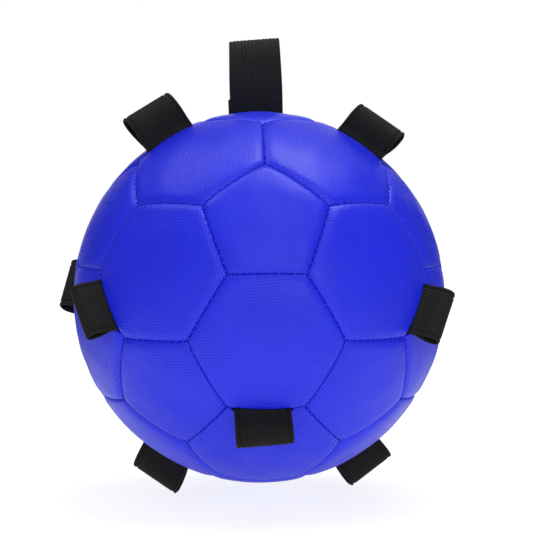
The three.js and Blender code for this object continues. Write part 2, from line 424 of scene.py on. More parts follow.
class SharedEffects:
    """Shader node groups that more than one finish uses."""

    def __init__(self) -> None:
        """Builds each group once."""
        self.grain = self._grain()
        self.weave = self._weave()

    @staticmethod
    def _new_group(name: str, numbers: tuple[str, ...], results: tuple[str, ...]) -> bpy.types.NodeTree:
        """Makes an empty shader group that takes a place and some numbers.

        Args:
            name: Name of the group.
            numbers: Names of the inputs beside the place.
            results: Names of the outputs.

        Returns:
            The group.
        """
        group = bpy.data.node_groups.new(name, "ShaderNodeTree")
        face = group.interface
        face.new_socket(name="Vector", in_out="INPUT", socket_type="NodeSocketVector")
        for in_out, names in (("INPUT", numbers), ("OUTPUT", results)):
            for socket in names:
                face.new_socket(name=socket, in_out=in_out, socket_type="NodeSocketFloat")
        return group

    def _grain(self) -> bpy.types.NodeTree:
        """Makes uneven tone over a hand's width, and fine pores.

        Returns:
            The group, which puts out a tone and a height.
        """
        group = self._new_group("surface_grain", ("Tone Scale", "Pore Scale"), ("Tone", "Height"))
        board = NodeBoard(group)
        source = board.add("NodeGroupInput")
        result = board.add("NodeGroupOutput")
        tone_detail, pore_detail = 3.0, 2.0
        usual_low, usual_high = 0.3, 0.7
        bands = (("Tone", "Tone Scale", tone_detail), ("Height", "Pore Scale", pore_detail))
        for name, scale, detail in bands:
            noise = board.add("ShaderNodeTexNoise")
            board.feed(noise.inputs["Vector"], source.outputs["Vector"])
            board.feed(noise.inputs["Scale"], source.outputs[scale])
            noise.inputs["Detail"].default_value = detail
            spread = board.remap(noise.outputs["Fac"], usual_low, usual_high, 0.0, 1.0)
            board.feed(result.inputs[name], spread)
        return group

    def _weave(self) -> bpy.types.NodeTree:
        """Makes warp cords crossed by weft picks.

        Returns:
            The group, which puts out a height and a mask of the hollows.
        """
        group = self._new_group("webbing_weave", ("Cord Pitch", "Pick Pitch"), ("Height", "Hollow"))
        board = NodeBoard(group)
        source = board.add("NodeGroupInput")
        result = board.add("NodeGroupOutput")
        pick_dip, hollow_top = 0.35, 0.5
        split = board.add("ShaderNodeSeparateXYZ")
        board.feed(split.inputs[0], source.outputs["Vector"])
        cord = board.math("DIVIDE", split.outputs["X"], source.outputs["Cord Pitch"])
        pick = board.math("DIVIDE", split.outputs["Y"], source.outputs["Pick Pitch"])
        odd = board.math("MULTIPLY", board.math("ROUND", cord), math.pi)
        cord_wave = board.math("ABSOLUTE", board.math("COSINE", board.math("MULTIPLY", cord, math.pi)))
        turn = board.math("ADD", board.math("MULTIPLY", pick, math.tau), odd)
        pick_wave = board.remap(board.math("SINE", turn), -1.0, 1.0, pick_dip, 1.0)
        height = board.math("MULTIPLY", cord_wave, pick_wave)
        board.feed(result.inputs["Height"], height)
        board.feed(result.inputs["Hollow"], board.remap(height, 0.0, hollow_top, 1.0, 0.0))
        return group


@dataclass(frozen=True)
class Grain:
    """Scales of a finish's uneven tone and of its pores, and how the pores show."""

    tone_scale: float
    pore_scale: float
    pore_depth: float
    pore_share: float = 0.5


class Finish:
    """Starts a material with its shader, its uneven tone and its pores."""

    def __init__(self, name: str, effects: SharedEffects, grain: Grain) -> None:
        """Makes the material.

        Args:
            name: Name of the material.
            effects: The shared shader groups.
            grain: Scales of the tone and the pores.
        """
        self.material = bpy.data.materials.new(name)
        self.material.use_nodes = True
        self.board = NodeBoard(self.material.node_tree)
        self.shader = self.board.add("ShaderNodeBsdfPrincipled")
        output = self.board.add("ShaderNodeOutputMaterial")
        self.board.feed(output.inputs["Surface"], self.shader.outputs["BSDF"])
        grained = self.effect(
            effects.grain,
            Vector=self.board.add("ShaderNodeTexCoord").outputs["Object"],
            Tone_Scale=grain.tone_scale,
            Pore_Scale=grain.pore_scale,
        )
        self.tone = grained.outputs["Tone"]
        self.pores = self.bump(grained.outputs["Height"], grain.pore_depth, grain.pore_share)

    def map(self, name: str) -> bpy.types.NodeSocket:
        """Returns the socket of a piece's own UV map."""
        return self.board.add("ShaderNodeUVMap", uv_map=name).outputs["UV"]

    def effect(self, group: bpy.types.NodeTree, **values: Any) -> bpy.types.Node:
        """Places a shared effect.

        Args:
            group: The shader node group.
            **values: Sockets or numbers by input name, with _ for a space.

        Returns:
            The group's node.
        """
        node = self.board.add("ShaderNodeGroup", node_tree=group)
        for name, value in values.items():
            self.board.feed(node.inputs[name.replace("_", " ")], value)
        return node

    def plain(self, **values: Any) -> None:
        """Sets constants or links on the principled shader, by input name with _ for a space."""
        for name, value in values.items():
            self.board.feed(self.shader.inputs[name.replace("_", " ")], value)

    def uneven(self, middle: float, spread: float) -> bpy.types.NodeSocket:
        """A roughness that follows the uneven tone, to either side of its middle."""
        return self.board.remap(self.tone, 0.0, 1.0, middle - spread, middle + spread)

    def bump(self, height: Any, depth: float, share: float, under: Any = None) -> bpy.types.NodeSocket:
        """Adds relief to the normal.

        Args:
            height: Socket of the height, from 0 to 1.
            depth: Depth of the relief in millimetres.
            share: Share of the relief that shows.
            under: A normal to add the relief to.

        Returns:
            The new normal, which also feeds the shader.
        """
        node = self.board.add("ShaderNodeBump")
        node.inputs["Strength"].default_value = share
        node.inputs["Distance"].default_value = depth * MM
        self.board.feed(node.inputs["Height"], height)
        if under is not None:
            self.board.feed(node.inputs["Normal"], under)
        self.board.feed(self.shader.inputs["Normal"], node.outputs["Normal"])
        return node.outputs["Normal"]


@dataclass(frozen=True)
class CoverFinish:
    """Blue coated sheet, embossed with a fine lattice of ovals, in millimetres."""

    colour: Colour = (0.0087, 0.0185, 0.74, 1.0)
    shade: Colour = (0.0061, 0.0145, 0.678, 1.0)
    grain: Grain = Grain(tone_scale=26.0, pore_scale=2600.0, pore_depth=0.02)
    crest_roughness: float = 0.4
    hollow_roughness: float = 0.5
    uneven_roughness: float = 0.05
    refraction: float = 1.5
    gloss: float = 0.21
    crest_coat: float = 0.58
    hollow_coat: float = 0.08
    coat_edges: tuple[float, float] = (0.1, 0.9)
    coat_roughness: float = 0.31
    oval_width: float = 2.69
    oval_height: float = 2.07
    oval_edges: tuple[float, float] = (0.22, 0.58)
    oval_depth: float = 0.15

    def ovals(self, finish: Finish) -> bpy.types.NodeSocket:
        """Lays the lattice, which has an oval at the corners and in the middle of each cell.

        Args:
            finish: The material to lay it in.

        Returns:
            Socket of a height, from 0 in the hollows to 1 on the crests.
        """
        board = finish.board
        spread = board.add("ShaderNodeMapping")
        board.feed(spread.inputs["Vector"], finish.map(PANEL_MAP))
        spread.inputs["Rotation"].default_value = (0.0, 0.0, math.radians(45.0))
        diagonal = math.sqrt(2.0)
        scale = (diagonal / self.oval_width, diagonal / self.oval_height, 1.0)
        spread.inputs["Scale"].default_value = scale
        lattice = board.add("ShaderNodeTexVoronoi", voronoi_dimensions="2D")
        lattice.inputs["Scale"].default_value = 1.0
        lattice.inputs["Randomness"].default_value = 0.0
        board.feed(lattice.inputs["Vector"], spread.outputs["Vector"])
        return board.remap(lattice.outputs["Distance"], *self.oval_edges, 1.0, 0.0)

    def material(self, effects: SharedEffects) -> bpy.types.Material:
        """Makes the material.

        Args:
            effects: The shared shader groups.

        Returns:
            The material.
        """
        finish = Finish("blue_coated_sheet", effects, self.grain)
        board = finish.board
        ovals = self.ovals(finish)
        rough = board.remap(ovals, 0.0, 1.0, self.hollow_roughness, self.crest_roughness)
        rough = board.math("ADD", rough, self.uneven_roughness / 2.0)
        finish.plain(
            Base_Color=board.mix_colour(finish.tone, self.shade, self.colour),
            Roughness=board.math("MULTIPLY_ADD", finish.tone, -self.uneven_roughness, rough),
            IOR=self.refraction,
            Specular_IOR_Level=self.gloss,
            Coat_Weight=board.remap(ovals, *self.coat_edges, self.hollow_coat, self.crest_coat),
            Coat_Roughness=self.coat_roughness,
        )
        finish.bump(ovals, self.oval_depth, share=1.0, under=finish.pores)
        return finish.material


@dataclass(frozen=True)
class ThreadFinish:
    """Blue bonded thread in the seams."""

    colour: Colour = (0.018, 0.032, 0.74, 1.0)
    shade: Colour = (0.010, 0.021, 0.60, 1.0)
    grain: Grain = Grain(tone_scale=900.0, pore_scale=6000.0, pore_depth=0.05)
    roughness: float = 0.6

    def material(self, effects: SharedEffects) -> bpy.types.Material:
        """Makes the material.

        Args:
            effects: The shared shader groups.

        Returns:
            The material.
        """
        finish = Finish("blue_thread", effects, self.grain)
        tinted = finish.board.mix_colour(finish.tone, self.shade, self.colour)
        finish.plain(Base_Color=tinted, Roughness=self.roughness)
        return finish.material


@dataclass(frozen=True)
class WebbingFinish:
    """Black woven tape with shade painted into its hollows and groove; yarn sizes in millimetres."""

    name: str
    colour: Colour
    # Colour painted into the weave's hollows and the selvedge groove as shade.
    hollow: Colour
    cord_pitch: float
    pick_pitch: float
    weave_depth: float
    groove: float
    groove_width: float
    groove_shade: float
    weave_share: float = 0.7
    # Least share of the painted hollow shade, where the uneven tone is lowest.
    least_hollow: float = 0.7
    grain: Grain = Grain(tone_scale=120.0, pore_scale=5200.0, pore_depth=0.03)
    roughness: float = 0.72
    uneven_roughness: float = 0.06
    gloss: float = 0.2
    sheen: float = 0.04
    sheen_roughness: float = 0.5

    def material(self, effects: SharedEffects) -> bpy.types.Material:
        """Makes the material.

        Args:
            effects: The shared shader groups.

        Returns:
            The material.
        """
        finish = Finish(self.name, effects, self.grain)
        board = finish.board
        strap = finish.map(STRAP_MAP)
        weave = finish.effect(
            effects.weave, Vector=strap, Cord_Pitch=self.cord_pitch, Pick_Pitch=self.pick_pitch
        )
        split = board.add("ShaderNodeSeparateXYZ")
        board.feed(split.inputs[0], strap)
        # Painted shade: the selvedge groove and the weave's hollows are darkened towards the hollow
        # colour.
        apart = board.math("SUBTRACT", board.math("ABSOLUTE", split.outputs["X"]), self.groove)
        line = board.remap(board.math("ABSOLUTE", apart), 0.0, self.groove_width, self.groove_shade, 0.0)
        hollow_shade = board.remap(finish.tone, 0.0, 1.0, self.least_hollow, 1.0)
        hollow_shade = board.math("MULTIPLY", weave.outputs["Hollow"], hollow_shade)
        finish.plain(
            Base_Color=board.mix_colour(board.math("MAXIMUM", hollow_shade, line), self.colour, self.hollow),
            Roughness=finish.uneven(self.roughness, self.uneven_roughness),
            Specular_IOR_Level=self.gloss,
            Sheen_Weight=self.sheen,
            Sheen_Roughness=self.sheen_roughness,
        )
        finish.bump(weave.outputs["Height"], self.weave_depth, self.weave_share, finish.pores)
        return finish.material


TAPE_FINISH = WebbingFinish(
    name="black_tape",
    colour=(0.0114, 0.0110, 0.0103, 1.0),
    hollow=(0.005, 0.0049, 0.0046, 1.0),
    cord_pitch=1.27,
    pick_pitch=1.1,
    weave_depth=0.12,
    groove=13.525,
    groove_width=0.8,
    groove_shade=1.0,
)
STRAP_FINISH = WebbingFinish(
    name="black_webbing",
    colour=(0.0160, 0.0168, 0.0160, 1.0),
    hollow=(0.007, 0.0074, 0.0074, 1.0),
    cord_pitch=2.268,
    pick_pitch=1.93,
    weave_depth=0.2,
    groove=14.6,
    groove_width=0.5,
    groove_shade=0.3,
)


@dataclass(frozen=True)
class RubberFinish:
    """Moulded or dipped rubber."""

    name: str
    colour: Colour
    bloom: Colour
    roughness: float
    uneven_roughness: float = 0.08
    grain: Grain = Grain(tone_scale=180.0, pore_scale=3600.0, pore_depth=0.03, pore_share=0.4)

    def material(self, effects: SharedEffects) -> bpy.types.Material:
        """Makes the material.

        Args:
            effects: The shared shader groups.

        Returns:
            The material.
        """
        finish = Finish(self.name, effects, self.grain)
        finish.plain(
            Base_Color=finish.board.mix_colour(finish.tone, self.colour, self.bloom),
            Roughness=finish.uneven(self.roughness, self.uneven_roughness),
        )
        return finish.material


BLADDER_FINISH = RubberFinish(
    "bladder_rubber", (0.010, 0.010, 0.011, 1.0), (0.020, 0.020, 0.021, 1.0), roughness=0.75
)
VALVE_FINISH = RubberFinish(
    "valve_rubber", (0.012, 0.012, 0.013, 1.0), (0.022, 0.022, 0.023, 1.0), roughness=0.55
)


@dataclass(frozen=True)
class LoopPlace:
    """Where a webbing loop comes out of its seam and how it stands, in millimetres and degrees."""

    name: str
    ends: tuple[tuple[str, str], tuple[str, str]]
    height: float
    droop: float
    opening: float = 5.0
    shift: float = 0.0
    lean: float = 0.0
    tilt: float = 0.0
    taper: float = 0.0
    tail_shift: float = 0.0


def tab(name: str, first: str, second: str, **stand: float) -> LoopPlace:
    """Places a tab on the seam that runs from one pentagon to another."""
    return LoopPlace(name, ((first, second), (second, first)), **stand)


TAB_PLACES = (
    tab("tab_upper_left", "upper_5", "top", shift=2.1, lean=-0.08, droop=18.0, height=22.5, opening=7.5),
    tab("tab_upper_right", "top", "upper_2", shift=4.6, lean=0.1, droop=28.0, height=19.8, opening=9.5),
    tab("tab_left", "lower_5", "upper_5", shift=-0.6, droop=36.0, height=16.4, opening=5.5),
    tab("tab_right", "upper_2", "lower_1", shift=3.8, droop=38.0, height=16.5, opening=6.5),
    tab("tab_front", "lower_1", "lower_5", shift=2.0, lean=-0.07, tilt=0.1, droop=28.0, height=20.0),
    tab(
        "tab_rear_left", "upper_4", "lower_4", shift=1.1, tilt=-0.08, droop=17.0, height=31.0, opening=11.0
    ),
    tab("tab_rear_right", "lower_2", "upper_3", droop=10.0, height=22.0),
    tab("tab_lower_left", "bottom", "lower_4", shift=-0.8, lean=-0.05, droop=16.0, height=21.5),
    tab("tab_lower_right", "lower_2", "bottom", shift=-3.1, lean=-0.1, droop=4.0, height=20.0),
    tab("tab_rear_top", "upper_4", "upper_3", droop=24.0, height=21.0),
)


@dataclass(frozen=True)
class Webbing:
    """Sizes of one kind of webbing and of the loops made from it, in millimetres."""

    slot: Slot
    thickness: float
    root: float
    sewn_thickness: float
    tail: float
    row_step: float
    columns: int
    ribs: int
    rib_height: float
    pick_pitch: float
    pick_height: float
    groove_depth: float
    fold_round: float
    width: float = 31.75
    selvedge: float = 2.35
    groove_width: float = 0.6

    @property
    def rib_pitch(self) -> float:
        """Distance from one warp cord to the next."""
        return self.width / self.ribs


TAB_WEBBING = Webbing(
    slot=Slot.TAB,
    thickness=1.4,
    root=3.0,
    sewn_thickness=1.05,
    tail=4.6,
    row_step=0.55,
    columns=150,
    ribs=25,
    rib_height=0.09,
    pick_pitch=1.1,
    pick_height=0.0,
    groove_depth=0.5,
    fold_round=1.2,
)
HANDLE_WEBBING = Webbing(
    slot=Slot.HANDLE,
    thickness=2.0,
    root=4.0,
    sewn_thickness=1.5,
    tail=5.2,
    row_step=0.48,
    columns=84,
    ribs=14,
    rib_height=0.13,
    pick_pitch=1.93,
    pick_height=0.15,
    groove_depth=0.1,
    fold_round=0.1,
)


class GeometryTree:
    """A Geometry Nodes tree that is run on a piece and leaves a plain mesh with its material."""

    def __init__(self, name: str, sizes: dict[str, str]) -> None:
        """Starts the tree with its sockets.

        Args:
            name: Name of the tree.
            sizes: Socket types of its sizes by name.
        """
        self.tree = bpy.data.node_groups.new(name, "GeometryNodeTree")
        self.marks: list[str] = []
        face = self.tree.interface
        kinds = {"Geometry": "NodeSocketGeometry", **sizes, "Material": "NodeSocketMaterial"}
        self.keys = {
            socket: face.new_socket(name=socket, in_out="INPUT", socket_type=kind).identifier
            for socket, kind in kinds.items()
        }
        face.new_socket(name="Geometry", in_out="OUTPUT", socket_type="NodeSocketGeometry")
        self.board = NodeBoard(self.tree)
        self.source = self.board.add("NodeGroupInput")

    def stored(self, name: str, kind: str) -> bpy.types.NodeSocket:
        """Reads a value that is stored on the piece's points.

        Args:
            name: Name of the attribute.
            kind: Blender's name of its type.

        Returns:
            The value's socket.
        """
        node = self.board.add("GeometryNodeInputNamedAttribute", data_type=kind)
        node.inputs["Name"].default_value = name
        self.marks.append(name)
        return node.outputs["Attribute"]

    def end(self, geometry: bpy.types.NodeSocket) -> None:
        """Ends the tree in real, smooth faces with the piece's material.

        Args:
            geometry: Socket of the finished geometry.
        """
        for kind in ("RealizeInstances", "SetShadeSmooth", "SetMaterial"):
            node = self.board.add(f"GeometryNode{kind}")
            self.board.feed(node.inputs["Geometry"], geometry)
            geometry = node.outputs["Geometry"]
        self.board.feed(node.inputs["Material"], self.source.outputs["Material"])
        self.board.feed(self.board.add("NodeGroupOutput").inputs["Geometry"], geometry)

    def bake(self, piece: bpy.types.Object, values: dict[str, Any]) -> None:
        """Runs the tree on a piece and keeps the result as its plain mesh.

        Args:
            piece: The object.
            values: Values of the tree's inputs by name.
        """
        modifier = piece.modifiers.new(self.tree.name, "NODES")
        modifier.node_group = self.tree
        for name, value in values.items():
            modifier[self.keys[name]] = value
        graph = bpy.context.evaluated_depsgraph_get()
        made = bpy.data.meshes.new_from_object(piece.evaluated_get(graph))
        piece.modifiers.remove(modifier)
        plain = piece.data
        piece.data = made
        bpy.data.meshes.remove(plain)
        made.name = piece.name
        for name in self.marks:
            if name in made.attributes:
                made.attributes.remove(made.attributes[name])


class WovenRelief:
    """Geometry Nodes that raise the warp cords and weft picks of a plain strap."""

    def __init__(self) -> None:
        """Builds the tree once."""
        sizes = ("Rib Pitch", "Rib Height", "Pick Pitch", "Pick Height")
        self.tree = GeometryTree("woven_relief", dict.fromkeys(sizes, "NodeSocketFloat"))
        board, source = self.tree.board, self.tree.source
        cord = board.math("DIVIDE", self.tree.stored("across", "FLOAT"), source.outputs["Rib Pitch"])
        pick = board.math("DIVIDE", self.tree.stored("along", "FLOAT"), source.outputs["Pick Pitch"])
        staggered = board.math("MULTIPLY_ADD", board.math("ROUND", cord), 0.5, pick)
        height = board.math("ADD", self.wave(cord, "Rib Height"), self.wave(staggered, "Pick Height"))
        height = board.math("MULTIPLY", height, self.tree.stored("woven", "FLOAT"))
        offset = board.add("ShaderNodeVectorMath", operation="SCALE")
        board.feed(offset.inputs["Vector"], board.add("GeometryNodeInputNormal").outputs["Normal"])
        board.feed(offset.inputs["Scale"], height)
        raised = board.add("GeometryNodeSetPosition")
        board.feed(raised.inputs["Geometry"], source.outputs["Geometry"])
        board.feed(raised.inputs["Offset"], offset.outputs["Vector"])
        self.tree.end(raised.outputs["Geometry"])

    def wave(self, turn: bpy.types.NodeSocket, height: str) -> bpy.types.NodeSocket:
        """Raises one set of yarns.

        Args:
            turn: Socket of the place in pitches.
            height: Name of the input that gives the yarns' height.

        Returns:
            The height's socket.
        """
        board = self.tree.board
        crest = board.math("COSINE", board.math("MULTIPLY", turn, math.tau))
        return board.math("MULTIPLY", crest, self.tree.source.outputs[height])

    def apply(self, piece: bpy.types.Object, webbing: Webbing, material: bpy.types.Material) -> None:
        """Raises the yarns of one strap and leaves a plain mesh.

        Args:
            piece: The strap, with its stored places.
            webbing: Sizes of the webbing.
            material: Finish of the strap.
        """
        values = {
            "Rib Pitch": webbing.rib_pitch * MM,
            "Rib Height": webbing.rib_height * MM,
            "Pick Pitch": webbing.pick_pitch * MM,
            "Pick Height": webbing.pick_height * MM,
            "Material": material,
        }
        self.tree.bake(piece, values)


@dataclass
class WebbingLoop:
    """One folded loop of webbing that is sewn into a seam, in millimetres."""

    place: LoopPlace
    webbing: Webbing
    layout: SeamLayout
    tail_top: float = 11.5
    tail_ease: float = 0.3
    edge_round: float = 0.45
    edge_level: float = 0.35
    plain_edge: float = 0.3
    weave_ease: float = 0.5
    fold_reach: float = 1.5
    fold_power: int = 6
    taper_start: float = 0.3
    bend_end: float = 0.4
    blend_below: float = 1.2
    blend_above: float = 4.0
    sewn_share: float = 0.5
    open_share: float = 1.15
    sewn_points: int = 40
    open_points: int = 241
    side_points: int = 400
    ease_reach: int = 9
    ease_width: float = 4.0

    def __post_init__(self) -> None:
        """Works out where the loop stands."""
        self.hinge_radius = self.layout.sizes.hinge_radius(self.webbing.thickness)
        first, second = (self.layout.corner(*end) for end in self.place.ends)
        pole = unit(np.cross(first, second))
        middle = self.layout.seam_middle(self.place.ends)
        angle = self.place.shift / self.hinge_radius
        self.outward = middle * math.cos(angle) + np.cross(pole, middle) * math.sin(angle)
        self.along = np.cross(pole, self.outward)
        self.across = np.cross(self.outward, self.along)
        self.hinge = self.outward * self.hinge_radius
        self.seam_key = self.layout.seam_key(first, second)

    @staticmethod
    def square_to(tangents: Array) -> Array:
        """Directions square to a flat line's tangents, each at length one."""
        ways = units(tangents)
        return np.stack([ways[:, 1], -ways[:, 0]], 1)

    def side_path(self) -> Array:
        """Middle line of one layer, from its sewn tail to the fold.

        Returns:
            Points across and out of the seam, evenly spaced.
        """
        webbing = self.webbing
        clear = self.place.height - webbing.thickness - webbing.root
        widest = math.sqrt(1.0 / 3.0) * 2.0 / 3.0
        share = 1.0 - (1.0 - np.linspace(0.0, 1.0, self.open_points)) ** 2
        half = self.place.opening / 2.0 * share * np.sqrt(1.0 - share) / widest
        inner = np.stack([half, webbing.root + clear * share], 1)
        tangents = np.gradient(inner, axis=0)
        tangents[-1] = (-1.0, 0.0)
        upper = inner + self.square_to(tangents) * webbing.thickness / 2.0
        upper[-1, 0] = 0.0
        upper = upper[upper[:, 1] > webbing.root * self.open_share]
        heights = np.linspace(-webbing.tail, webbing.root * self.sewn_share, self.sewn_points)
        lower = np.stack([np.full(self.sewn_points, webbing.sewn_thickness / 2.0), heights], 1)
        return self.evenly(np.concatenate([lower, upper]), self.side_points)

    @staticmethod
    def evenly(points: Array, count: int) -> Array:
        """Resamples a line of points to even steps.

        Args:
            points: The points in order.
            count: How many points to return.

        Returns:
            The evenly spaced points.
        """
        steps = np.linalg.norm(np.diff(points, axis=0), axis=1)
        reach = np.concatenate([[0.0], np.cumsum(steps)])
        at = np.linspace(0.0, reach[-1], count)
        return np.stack([np.interp(at, reach, points[:, k]) for k in range(points.shape[1])], 1)

    def path(self) -> Array:
        """Middle line of the whole loop, smoothed, from one sewn tail to the other.

        Returns:
            Points across and out of the seam.
        """
        side = self.side_path()
        mirrored = side[::-1][1:] * (-1.0, 1.0)
        line = self.evenly(np.concatenate([side, mirrored]), 2 * self.side_points + 1)
        reach = self.ease_reach
        spread = np.exp(-0.5 * (np.arange(-reach, reach + 1) / self.ease_width) ** 2)
        spread /= spread.sum()
        before = 2 * line[0] - line[reach:0:-1]
        after = 2 * line[-1] - line[-2 : -reach - 2 : -1]
        padded = np.concatenate([before, line, after])
        eased = np.stack([np.convolve(padded[:, k], spread, "valid") for k in (0, 1)], 1)
        length = np.linalg.norm(np.diff(eased, axis=0), axis=1).sum()
        return self.evenly(eased, int(round(length / self.webbing.row_step)) + 1)

    def section(self) -> tuple[Array, Array, Array]:
        """Section of the strap across its width, as one closed line.

        Returns:
            Places across the width, heights from the middle in half thicknesses, and how much of
            the weave shows.
        """
        webbing = self.webbing
        half = webbing.width / 2.0
        places = np.linspace(-half, half, webbing.columns + 1)
        inset = half - np.abs(places)
        groove = np.exp(-(((inset - webbing.selvedge) / webbing.groove_width) ** 2))
        rounded = np.sqrt(1.0 - (1.0 - np.clip(inset / self.edge_round, 0.0, 1.0)) ** 2)
        level = self.edge_level + (1.0 - self.edge_level) * rounded
        level -= groove * 2.0 * webbing.groove_depth / webbing.thickness
        woven = smooth_step(inset, self.plain_edge, webbing.selvedge + self.weave_ease)
        across = np.concatenate([places, places[::-1]])
        return across, np.concatenate([level, -level[::-1]]), np.concatenate([woven, woven])

    def shape(self, line: Array, across: Array, level: Array) -> Array:
        """Sweeps the section along the loop, and lets the loop fold, taper, lean and droop.

        Args:
            line: Middle line of the loop.
            across: Places of the section across the width.
            level: Heights of the section from the middle, in half thicknesses.

        Returns:
            The strap's points about the ball's middle, one row after the other.
        """
        webbing, place = self.webbing, self.place
        open_more = webbing.thickness - webbing.sewn_thickness
        thick = webbing.sewn_thickness + open_more * smooth_step(line[:, 1], 0.0, webbing.root)
        lift = thick[:, None] / 2.0 * level[None, :]
        normal = self.square_to(np.gradient(line, axis=0))
        flat = line[:, None, :] + normal[:, None, :] * lift[:, :, None]
        over = flat[:, :, 0]
        above = np.clip(flat[:, :, 1], 0.0, None)
        side = np.broadcast_to(across[None, :], over.shape).copy()
        out = flat[:, :, 1] * (1.0 + place.tilt * side * above / place.height**2)
        fold = self.fold_reach * webbing.fold_round
        near_fold = np.clip((above - place.height + fold) / fold, 0.0, 1.0)
        rounding = webbing.fold_round * (1.0 - np.sqrt(1.0 - near_fold**2))
        side -= rounding * np.sign(side) * (np.abs(side) * 2.0 / webbing.width) ** self.fold_power
        tail = 1.0 - smooth_step(above, self.tail_top - self.tail_ease, self.tail_top + self.tail_ease)
        side -= place.tail_shift * (over > 0.0) * tail
        side *= 1.0 - place.taper * smooth_step(above, self.taper_start * place.height, place.height)
        side += place.lean * above
        turn = math.radians(place.droop) * smooth_step(out, -webbing.root, self.bend_end * webbing.root)
        over, out = over * np.cos(turn) + out * np.sin(turn), out * np.cos(turn) - over * np.sin(turn)
        points = (
            self.hinge
            + over[:, :, None] * self.across
            + out[:, :, None] * self.outward
            + side[:, :, None] * self.along
        )
        return points.reshape(-1, 3)

    @staticmethod
    def faces(rows: int, count: int) -> list[tuple[int, ...]]:
        """Faces of the swept section, closed at both ends.

        Args:
            rows: Number of sections.
            count: Number of points in a section.

        Returns:
            The faces.
        """
        faces: list[tuple[int, ...]] = []
        for first in range(0, (rows - 1) * count, count):
            second = first + count
            for column in range(count):
                after = (column + 1) % count
                faces.append((first + column, first + after, second + after, second + column))
        for start, flip in ((0, False), ((rows - 1) * count, True)):
            last = start + count - 1
            for column in range(count // 2 - 1):
                quad = (start + column, last - column, last - column - 1, start + column + 1)
                faces.append(quad[::-1] if flip else quad)
        return faces

    def build(self) -> bpy.types.Object:
        """Makes the plain strap with its map and the stored places for its weave.

        Returns:
            The strap.
        """
        line = self.path()
        across, level, woven = self.section()
        rows, count = len(line), len(across)
        points = self.layout.placed(self.shape(line, across, level))
        piece = add_mesh(f"webbing_{self.place.name}", points, self.faces(rows, count))
        along_all = np.repeat(np.arange(rows) * self.webbing.row_step, count)
        across_all = np.tile(across, rows)
        add_map(piece, STRAP_MAP, np.stack([across_all, along_all], 1))
        add_values(piece, "across", across_all * MM)
        add_values(piece, "along", along_all * MM)
        add_values(piece, "woven", np.tile(woven, rows))
        return piece

    def dress(self, piece: bpy.types.Object) -> None:
        """Hides the loop's imported solid and bakes the strap's placement into its mesh.

        Args:
            piece: The finished strap.
        """
        turn = math.radians(self.place.droop)
        stand = self.outward * math.cos(turn) + self.across * math.sin(turn)
        ends = (self.hinge - self.blend_below * stand, self.hinge + self.blend_above * stand)
        start, end = self.layout.placed(np.array(ends))
        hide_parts(self.place.name)
        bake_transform(piece)


# Degrees from a panel's first corner. A panel that isn't listed has a heading at random.
EMBOSS_HEADINGS = {
    "pentagon_upper_1": 54.0,
    "pentagon_lower_1": 159.0,
    "pentagon_lower_5": 15.0,
    "hexagon_top_1": 72.0,
    "hexagon_top_5": 75.0,
    "hexagon_upper_1": 147.0,
    "hexagon_upper_5": 29.0,
    "hexagon_lower_5": 86.0,
    "hexagon_bottom_5": 22.0,
}


